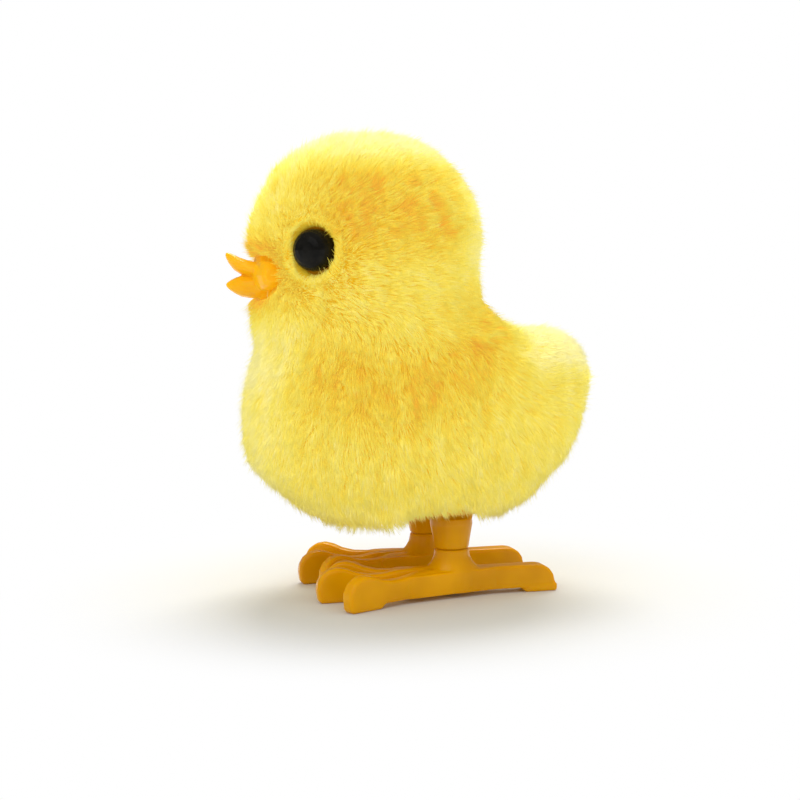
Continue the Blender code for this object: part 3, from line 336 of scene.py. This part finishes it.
def plastic(name, deep, bright, roughness, glow=0.0, flow_scale=90.0):
    """Moulded plastic: faint flow marks in the colour, and a slightly uneven polish."""
    nodes = Nodes(name)
    flow = nodes.noise(flow_scale, detail=2.0, roughness=0.4)
    grain = nodes.noise(1600.0, detail=3.0, roughness=0.6)
    nodes.set(
        Base_Color=nodes.ramp(flow, (0.35, deep), (0.7, bright)),
        Roughness=roughness,
        Specular_IOR_Level=0.18,
        Normal=nodes.bump(grain, 0.12, 0.05 * MM),
    )
    # painted glow: the plastic emits its bright colour to lift its shaded sides, beside real subsurface
    # scattering
    if glow:
        nodes.set(
            Emission_Color=(*bright, 1.0),
            Emission_Strength=EMISSION_PER_GLOW * glow,
            Subsurface_Weight=glow,
            Subsurface_Radius=(2.4, 1.1, 0.15),
            Subsurface_Scale=MM,
        )
    return nodes.material


def metal(name, dark, light, roughness):
    """Drawn metal with fine scratches."""
    nodes = Nodes(name)
    scratch = nodes.noise(2600.0, detail=4.0, roughness=0.7)
    nodes.set(
        Base_Color=nodes.ramp(scratch, (0.3, dark), (0.7, light)),
        Metallic=1.0,
        Roughness=roughness,
        Normal=nodes.bump(scratch, 0.2, 0.02 * MM),
    )
    return nodes.material


def eye_material():
    """Near-black gloss with a faint haze."""
    nodes = Nodes("eye_gloss")
    haze = nodes.noise(420.0, detail=3.0)
    nodes.set(
        Base_Color=nodes.ramp(haze, (0.3, (0.004, 0.004, 0.0035)), (0.7, (0.012, 0.011, 0.009))),
        Roughness=0.2,
        Specular_IOR_Level=0.08,
    )
    return nodes.material


# ---------------------------------------------------------------- plush


def nearest_on_spine(points):
    """The nearest point of the line through tail, chest and head, for each point."""
    best, nearest = None, None
    for start, end in zip(SPINE, SPINE[1:]):
        way = end - start
        share = np.clip((points - start) @ way / (way @ way), 0.0, 1.0)
        foot = start + share[:, None] * way
        far = np.linalg.norm(points - foot, axis=1)
        if best is None:
            best, nearest = far, foot
        else:
            closer = far < best
            best = np.where(closer, far, best)
            nearest = np.where(closer[:, None], foot, nearest)
    return nearest


def averaged(values, edges, rounds):
    """Values of each vertex averaged with its neighbours', some rounds over."""
    count = np.bincount(edges.ravel(), minlength=len(values))[:, None]
    for _ in range(rounds):
        total = np.zeros_like(values)
        np.add.at(total, edges[:, 0], values[edges[:, 1]])
        np.add.at(total, edges[:, 1], values[edges[:, 0]])
        values = 0.5 * values + 0.5 * total / np.maximum(count, 1)
    return values


def add_pads(mesh):
    """Pads of plush around the beak, merged with the cover by its remesh."""
    cover = bmesh.new()
    cover.from_mesh(mesh)
    for centre, radii in PADS:
        before = set(cover.verts)
        bmesh.ops.create_uvsphere(cover, u_segments=24, v_segments=16, radius=1.0)
        for vertex in cover.verts:
            if vertex not in before:
                place = np.array(centre) + np.array(vertex.co) * np.array(radii)
                vertex.co = Vector(TOY_ORIGIN + place * MM)
    cover.to_mesh(mesh)
    cover.free()


def build_skin():
    """The backing cloth, and for each of its vertices the pile's top, its direction and its side."""
    skin = rounded_copy("plush_cover", "fur_skin", SKIN_VOXEL, SKIN_SMOOTHING, add_pads)
    mesh = skin.data
    pile_top = vertex_positions(mesh)
    edges = np.empty(len(mesh.edges) * 2, np.int32)
    mesh.edges.foreach_get("vertices", edges)
    edges = edges.reshape(-1, 2)
    normals = unit(averaged(vertex_normals(mesh), edges, 5))
    outside = ((pile_top - nearest_on_spine(pile_top)) * normals).sum(axis=1) > 0.0
    toy = (pile_top - TOY_ORIGIN) / MM
    pile_top = pile_top - trimming(toy)[:, None] * normals + hem_shift(toy)
    inward = averaged(np.where(outside, PILE_DEPTH, 0.0)[:, None], edges, 2)
    set_positions(mesh, pile_top - inward * normals)
    skin.data.materials.append(skin_material())
    return skin, pile_top, normals, outside


def trimming(toy):
    """How far the pile is clipped below the cover's own surface, or left long where negative."""
    y, z = toy[:, 1], toy[:, 2]
    saddle = smooth_step(8.0, 13.0, y) * smooth_step(25.0, 17.0, y) * smooth_step(50.0, 55.0, z)
    crest = smooth_step(-14.0, -24.0, y) * smooth_step(86.0, 92.0, z)
    nape = smooth_step(-24.0, -4.0, y) * smooth_step(68.0, 84.0, z)
    tail = smooth_step(18.0, 25.0, y) * smooth_step(48.0, 54.0, z)
    chin = smooth_step(-30.0, -38.0, y) * smooth_step(55.0, 60.0, z) * smooth_step(68.0, 64.0, z)
    return (0.2 + 1.2 * saddle - 0.8 * crest - 1.7 * nape - 0.5 * tail - 1.2 * chin) * MM


def hem_shift(toy):
    """The hem is drawn in at front and rear, hangs low in front of the legs and is high at their sides."""
    y, z = toy[:, 1], toy[:, 2]
    front = smooth_step(0.0, -20.0, y)
    rear = smooth_step(0.0, 14.0, y)
    inward = 2.4 * front * smooth_step(32.0, 22.0, z)
    inward -= rear * (1.8 * smooth_step(30.0, 25.0, z) + 4.6 * smooth_step(22.5, 16.5, z))
    lift = 1.6 * smooth_step(-17.0, -13.0, y) * smooth_step(8.0, 0.0, y)
    drop = (1.0 * smooth_step(-14.0, -18.0, y) - lift) * smooth_step(26.0, 18.0, z)
    return np.stack([np.zeros_like(y), inward, -drop], axis=1) * MM


def scatter(mesh, outside, count, rng):
    """Random roots spread evenly over the outer faces: the face and the shares of its corners."""
    mesh.calc_loop_triangles()
    corners = np.empty(len(mesh.loop_triangles) * 3, np.int32)
    mesh.loop_triangles.foreach_get("vertices", corners)
    corners = corners.reshape(-1, 3)
    corners = corners[outside[corners].all(axis=1)]
    points = vertex_positions(mesh)
    a, b, c = (points[corners[:, k]] for k in range(3))
    area = np.linalg.norm(np.cross(b - a, c - a), axis=1)
    chosen = rng.choice(len(corners), size=count, p=area / area.sum())
    first, second = rng.random(count), rng.random(count)
    folded = first + second > 1.0
    first, second = np.where(folded, 1.0 - first, first), np.where(folded, 1.0 - second, second)
    shares = np.stack([1.0 - first - second, first, second], axis=1)
    return corners[chosen], shares


def between(values, corners, shares):
    """Vertex values read at scattered points."""
    return (values[corners] * shares[:, :, None]).sum(axis=1)


def comb_directions(points, normals):
    """Which way the pile lies: away from the beak on the head, down the body, out along the tail."""
    toy = (points - TOY_ORIGIN) / MM
    y, z = toy[:, 1], toy[:, 2]
    from_beak = unit(toy - np.array(BEAK_CENTRE))
    down = unit(np.array((0.0, 0.22, -1.0)))
    tailward = unit(np.array((0.0, 1.0, 0.12)))
    head = smooth_step(54.0, 64.0, z)[:, None]
    tail = smooth_step(4.0, 24.0, y) * smooth_step(30.0, 46.0, z) * smooth_step(70.0, 58.0, z)
    tail = tail[:, None]
    body = down * (1.0 - tail) + tailward * tail
    wanted = body * (1.0 - head) + from_beak * head
    along = wanted - (wanted * normals).sum(axis=1, keepdims=True) * normals
    return unit(along)


def grow_strands(pile_top, normals, skin_mesh, outside):
    """Root, middle and tip of each strand, its tone, and where it stands."""
    rng = np.random.default_rng(STRAND_SEED)
    corners, shares = scatter(skin_mesh, outside, STRAND_COUNT, rng)
    skin_points = vertex_positions(skin_mesh)
    root = between(skin_points, corners, shares)
    top = between(pile_top, corners, shares)
    up = unit(between(normals, corners, shares))
    comb = comb_directions(top, up)
    toy = (top - TOY_ORIGIN) / MM
    depth = np.linalg.norm(top - root, axis=1, keepdims=True)
    head = smooth_step(58.0, 70.0, toy[:, 2])[:, None]
    hem = smooth_step(24.0, 17.0, toy[:, 2])[:, None]

    swirl = vector_noise(toy, SWIRL[0], 31) * SWIRL[1]
    swirl = swirl + vector_noise(toy, RUFFLE[0], 41) * (RUFFLE[1] + HEAD_RUFFLE * head)
    swirl -= (swirl * up).sum(axis=1, keepdims=True) * up
    stray = rng.normal(size=top.shape) * STRAY
    length = depth * rng.uniform(*STRAND_REACH, (STRAND_COUNT, 1))
    guard = rng.random((STRAND_COUNT, 1)) < GUARD_SHARE
    length = np.where(guard, length * rng.uniform(*GUARD_REACH, (STRAND_COUNT, 1)), length)
    lean = (STRAND_LEAN - HEAD_LEAN_LOSS * head + HEM_LEAN_GAIN * hem) * MM
    tip = root + up * length + (comb * lean + (swirl + stray) * MM)

    chosen = rng.choice(STRAND_COUNT, TUFT_COUNT, replace=False)
    tree = KDTree(TUFT_COUNT)
    for index, place in enumerate(root[chosen]):
        tree.insert(place, index)
    tree.balance()
    tuft = np.array([tree.find(place)[1] for place in root])
    pull = (TUFT_PULL[0] + TUFT_PULL[1] * np.clip(wave_noise(toy, 9.0, 51), -1.0, 1.0))[:, None]
    gather = tip[chosen][tuft] + (root - root[chosen][tuft]) * TUFT_SPREAD
    tip = tip + (gather - tip) * np.clip(pull, 0.0, 0.5)
    middle = root + up * length * BEND_HEIGHT + (tip - root - up * length) * BEND_LEAN
    tone = colouring(toy) + 0.05 * rng.normal(size=TUFT_COUNT)[tuft]
    tone = tone + 0.06 * rng.normal(size=STRAND_COUNT)
    return {
        "root": root - up * STRAND_SINK,
        "middle": middle,
        "tip": tip,
        "tone": np.clip(tone, 0.03, 0.97),
        "toy": toy,
    }


def colouring(toy):
    """The pile's tone over the body: 0 is orange, 1 is lemon; it also paints shade under the head and
    light on the crown, the top of the tail and the back of the head.
    """
    x, y, z = np.abs(toy[:, 0]), toy[:, 1], toy[:, 2]
    mottle = wave_noise(toy, 7.0, 61) * 0.5 + wave_noise(toy, 2.8, 62) * 0.5
    streaks = wave_noise(toy * np.array((1.0, 1.0, 0.22)), 4.0, 63)
    head = smooth_step(58.0, 70.0, z)
    patch = head * smooth_step(68.0, 78.0, z) * smooth_step(97.0, 88.0, z)
    patch = patch * smooth_step(-38.0, -22.0, y)
    # painted light: the crown's pile is paler where the top of the head is lit from above
    crown = smooth_step(90.0, 99.0, z)
    throat = smooth_step(-28.0, -38.0, y) * smooth_step(66.0, 58.0, z)
    throat = throat * smooth_step(44.0, 52.0, z)
    # painted light: the top of the tail is paler where it is lit from above
    top_lit_tail = smooth_step(8.0, 20.0, y) * smooth_step(46.0, 54.0, z)
    hem = smooth_step(28.0, 18.0, z)
    breast = smooth_step(-34.0, -42.0, y) * smooth_step(54.0, 46.0, z)
    beak = np.exp(-(((y + 41.0) / 6.0) ** 2 + ((z - 68.8) / 9.0) ** 2 + (x / 13.0) ** 2))
    from_head = np.sqrt((y - HEAD_CENTRE[1]) ** 2 + (z - HEAD_CENTRE[2]) ** 2)
    # painted shade: a darker band under the head, where the cheeks overhang the neck
    under_head_shade = np.exp(-(((from_head - 28.0) / 9.0) ** 2)) * smooth_step(72.0, 60.0, z)
    under_head_shade *= smooth_step(-44.0, -33.0, y)
    # painted light: a paler rim of back light on the back of the head
    rim_lit_back_of_head = smooth_step(-2.0, 6.0, y) * smooth_step(66.0, 74.0, z)
    tone = 0.58 + 0.11 * mottle * head + 0.045 * streaks * (1.0 - head) - (0.30 + 0.08 * mottle) * under_head_shade
    tone += 0.40 * crown + 0.44 * throat + 0.55 * top_lit_tail + 0.10 * hem
    tone += 0.38 * rim_lit_back_of_head + 0.16 * breast
    tone -= patch * (0.28 + 0.30 * np.clip(mottle, -0.6, 1.2))
    tone -= 0.62 * beak
    return tone


def strand_mesh(name, root, middle, tip, tone, width):
    """Closed three-sided strands: a ring at the root, a ring in the middle and a point."""
    count = len(root)
    rng = np.random.default_rng(count)
    turn = rng.uniform(0.0, 2.0 * math.pi, count)
    way = unit(tip - root)
    aside = unit(np.cross(way, rng.normal(size=way.shape)))
    across = np.cross(way, aside)
    rings = []
    for centre, share in ((root, 0.5), (middle, 0.42)):
        for side in range(3):
            angle = turn + side * 2.0 * math.pi / 3.0
            offset = np.cos(angle)[:, None] * aside + np.sin(angle)[:, None] * across
            rings.append(centre + offset * width * share)
    rings.append(tip)
    points = np.stack(rings, axis=1).reshape(-1, 3)
    pattern = [(2, 1, 0)]
    for side in range(3):
        after = (side + 1) % 3
        pattern.append((side, after, 3 + after))
        pattern.append((side, 3 + after, 3 + side))
        pattern.append((3 + side, 3 + after, 6))
    pattern = np.array(pattern, np.int32)
    faces = (np.arange(count, dtype=np.int32)[:, None, None] * 7 + pattern).reshape(-1, 3)
    mesh = bpy.data.meshes.new(name)
    mesh.vertices.add(len(points))
    mesh.loops.add(faces.size)
    mesh.polygons.add(len(faces))
    mesh.vertices.foreach_set("co", points.astype(np.float32).ravel())
    mesh.loops.foreach_set("vertex_index", faces.ravel())
    mesh.polygons.foreach_set("loop_start", np.arange(0, faces.size, 3, dtype=np.int32))
    mesh.polygons.foreach_set("use_smooth", np.ones(len(faces), bool))
    mesh.update(calc_edges=True)
    along = np.array((0.0, 0.0, 0.0, 0.55, 0.55, 0.55, 1.0))
    spread = np.array((-1.0, 0.0, 1.0, -1.0, 0.0, 1.0, 0.0)) * 0.004
    u = (tone[:, None] + spread).reshape(-1)
    v = np.broadcast_to(along, (count, 7)).reshape(-1)
    corner_uv = np.stack([u, v], axis=1)[faces.ravel()].astype(np.float32)
    mesh.uv_layers.new(name=FUR_UV).data.foreach_set("uv", corner_uv.ravel())
    return mesh


def build_fur():
    """The backing cloth and its strands, in bands of height on each side."""
    skin, pile_top, normals, outside = build_skin()
    strands = grow_strands(pile_top, normals, skin.data, outside)
    toy = strands["toy"]
    keep = clear_of_face(toy) & clear_of_legs(toy)
    material = fur_material()
    pieces = [skin]
    for band, low, high in FUR_BANDS:
        for side, sign in (("left", 1.0), ("right", -1.0)):
            mine = keep & (toy[:, 2] >= low) & (toy[:, 2] < high) & (toy[:, 0] * sign > 0.0)
            name = f"fur_{band}_{side}"
            mesh = strand_mesh(
                name,
                strands["root"][mine],
                strands["middle"][mine],
                strands["tip"][mine],
                strands["tone"][mine],
                STRAND_WIDTH,
            )
            mesh.materials.append(material)
            pieces.append(new_object(name, mesh))
    for piece in pieces:
        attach(piece, "torso")
    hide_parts("plush_cover")


def clear_of_face(toy):
    """Strands that don't grow through an eye or the beak."""
    mirrored = np.abs(toy[:, 0])
    flat = np.stack([mirrored, toy[:, 1], toy[:, 2]], axis=1)
    eye = np.array(EYE_CENTRE) - HEAD_CENTRE
    axis = eye / np.linalg.norm(eye)
    offset = flat - HEAD_CENTRE
    from_eye = np.linalg.norm(offset - (offset @ axis)[:, None] * axis, axis=1)
    near_eye = (from_eye < EYE_CLEARING) & (offset @ axis > 0.0)
    across = mirrored / MOUTH_CLEARING[0]
    upward = (toy[:, 2] - MOUTH_HEIGHT) / MOUTH_CLEARING[1]
    near_beak = (across**4 + upward**4 < 1.0) & (toy[:, 1] < FACE_FRONT)
    return ~(near_eye | near_beak)


def clear_of_legs(toy):
    """Strands that don't brush a leg column when the body rocks."""
    from_leg = np.hypot(np.abs(toy[:, 0]) - LEG_X, toy[:, 1])
    return (from_leg > LEG_CLEARING) | (toy[:, 2] > LEG_CLEARING_TOP)


# ---------------------------------------------------------------- plastic pieces


def build_plastic():
    """The feet, leg columns and beak, with softened edges: node, body, voxel, smoothing and plastic."""
    foot_plastic = plastic("orange_plastic", linear(192, 131, 0), linear(218, 156, 0), 0.24, PLASTIC_GLOW)
    beak_plastic = plastic("beak_plastic", linear(230, 166, 8), linear(246, 188, 26), 0.22, PLASTIC_GLOW)
    for node, body, voxel, rounds, finish in (
        ("foot_left", "left_leg", FOOT_VOXEL, 12, foot_plastic),
        ("foot_right", "right_leg", FOOT_VOXEL, 12, foot_plastic),
        ("leg_left", "left_leg", FOOT_VOXEL, 4, foot_plastic),
        ("leg_right", "right_leg", FOOT_VOXEL, 4, foot_plastic),
        ("beak", "torso", BEAK_VOXEL, 8, beak_plastic),
    ):
        piece = rounded_copy(node, f"{node}_moulding", voxel, rounds)
        piece.data.materials.append(finish)
        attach(piece, body)
        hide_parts(node)


def paint_frame():
    """Materials of the CAD nodes that show as they are."""
    finishes = {
        "black_plastic": eye_material(),
        "shell_plastic": plastic("shell_plastic", linear(222, 168, 20), linear(244, 196, 40), 0.35),
        "case_plastic": plastic("case_plastic", linear(206, 206, 200), linear(232, 232, 226), 0.4),
        "gear_plastic": plastic("gear_plastic", linear(224, 222, 210), linear(246, 244, 236), 0.32),
        "knob_plastic": plastic("knob_plastic", linear(176, 173, 162), linear(194, 191, 180), 0.28),
        "washer_plastic": plastic("washer_plastic", linear(190, 190, 186), linear(214, 214, 210), 0.4),
        "steel": metal("steel", (0.42, 0.42, 0.43), (0.62, 0.62, 0.63), 0.3),
        "spring_steel": metal("spring_steel", (0.16, 0.18, 0.22), (0.28, 0.31, 0.36), 0.28),
    }
    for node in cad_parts.values():
        for slot in node.material_slots:
            name = slot.material.name if slot.material else ""
            if name in finishes:
                slot.material = finishes[name]


# ---------------------------------------------------------------- studio


def build_studio():
    """A pale floor, a white world and two soft lamps."""
    scene = bpy.context.scene
    scene.view_settings.view_transform = "Standard"
    scene.world = studio_world()
    floor_mesh = bpy.data.meshes.new("floor")
    corners = ((-1, -1), (1, -1), (1, 1), (-1, 1))
    floor_mesh.from_pydata(
        [(x * FLOOR_REACH, y * FLOOR_REACH, 0.0) for x, y in corners],
        [],
        [(0, 1, 2, 3)],
    )
    floor = new_object("floor", floor_mesh)
    floor_mesh.materials.append(floor_material())
    for name, place, size, power, colour in LAMPS:
        lamp = bpy.data.lights.new(name, "AREA")
        lamp.size = size
        lamp.energy = power
        lamp.color = colour
        light = bpy.data.objects.new(name, lamp)
        light.location = place
        light.rotation_mode = "QUATERNION"
        light.rotation_quaternion = (Vector(LAMP_TARGET) - Vector(place)).to_track_quat("-Z", "Y")
        scene.collection.objects.link(light)


def studio_world():
    """White all round, but dimmer in reflections, as in a room with one bright side."""
    world = bpy.data.worlds.new("studio")
    world.use_nodes = True
    tree = world.node_tree
    background = tree.nodes["Background"]
    background.inputs["Color"].default_value = (1.0, 1.0, 1.0, 1.0)
    rays = tree.nodes.new("ShaderNodeLightPath")
    dim = tree.nodes.new("ShaderNodeMapRange")
    dim.inputs["To Min"].default_value = WORLD_STRENGTH
    dim.inputs["To Max"].default_value = REFLECTED_STRENGTH
    tree.links.new(rays.outputs["Is Glossy Ray"], dim.inputs["Value"])
    bright = tree.nodes.new("ShaderNodeMath")
    bright.operation = "MAXIMUM"
    tree.links.new(rays.outputs["Is Camera Ray"], bright.inputs[0])
    tree.links.new(dim.outputs["Result"], bright.inputs[1])
    tree.links.new(bright.outputs["Value"], background.inputs["Strength"])
    return world


def floor_material():
    """White paper that takes shadows near the toy and fades into the background further off."""
    nodes = Nodes("floor_paper")
    nodes.set(Base_Color=(*FLOOR_COLOUR, 1.0), Roughness=0.8, Specular_IOR_Level=0.1)
    place = nodes.tree.nodes.new("ShaderNodeTexCoord").outputs["Object"]
    far = nodes.tree.nodes.new("ShaderNodeVectorMath")
    far.operation = "LENGTH"
    nodes.tree.links.new(place, far.inputs[0])
    fade = nodes.tree.nodes.new("ShaderNodeMapRange")
    fade.interpolation_type = "SMOOTHSTEP"
    fade.inputs["From Min"].default_value = FLOOR_FADE[0]
    fade.inputs["From Max"].default_value = FLOOR_FADE[1]
    nodes.tree.links.new(far.outputs["Value"], fade.inputs["Value"])
    white = nodes.tree.nodes.new("ShaderNodeEmission")
    both = nodes.tree.nodes.new("ShaderNodeMixShader")
    nodes.tree.links.new(fade.outputs["Result"], both.inputs["Fac"])
    nodes.tree.links.new(nodes.shader.outputs["BSDF"], both.inputs[1])
    nodes.tree.links.new(white.outputs["Emission"], both.inputs[2])
    nodes.tree.links.new(both.outputs["Shader"], nodes.tree.nodes["Material Output"].inputs["Surface"])
    return nodes.material


def build_camera():
    """The photograph's viewpoint: from the toy's left side, turned a little to its front."""
    sine, cosine = math.sin(CAMERA_TURN), math.cos(CAMERA_TURN)
    along = Vector((cosine, -sine, 0.0))
    right = Vector((sine, cosine, 0.0))
    camera = bpy.data.objects.new("camera", bpy.data.cameras.new("camera"))
    camera.data.lens = CAMERA_LENS
    camera.location = Vector(TOY_ORIGIN) + along * CAMERA_DISTANCE + right * CAMERA_ASIDE
    camera.location.z = CAMERA_HEIGHT
    looking = -along * math.cos(CAMERA_PITCH) + Vector((0.0, 0.0, -math.sin(CAMERA_PITCH)))
    camera.rotation_mode = "QUATERNION"
    rolled = Quaternion(looking, CAMERA_ROLL)
    camera.rotation_quaternion = rolled @ looking.to_track_quat("-Z", "Y")
    camera.data.clip_start = 0.01
    camera.data.clip_end = 50.0
    bpy.context.scene.collection.objects.link(camera)
    bpy.context.scene.camera = camera


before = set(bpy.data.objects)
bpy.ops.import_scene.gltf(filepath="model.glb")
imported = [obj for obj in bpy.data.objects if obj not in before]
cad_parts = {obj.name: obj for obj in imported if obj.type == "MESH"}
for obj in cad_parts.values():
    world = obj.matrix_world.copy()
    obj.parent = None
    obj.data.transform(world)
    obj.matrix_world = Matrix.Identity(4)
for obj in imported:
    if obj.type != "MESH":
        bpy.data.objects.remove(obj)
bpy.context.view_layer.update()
build_fur()
build_plastic()
paint_frame()
build_studio()
build_camera()
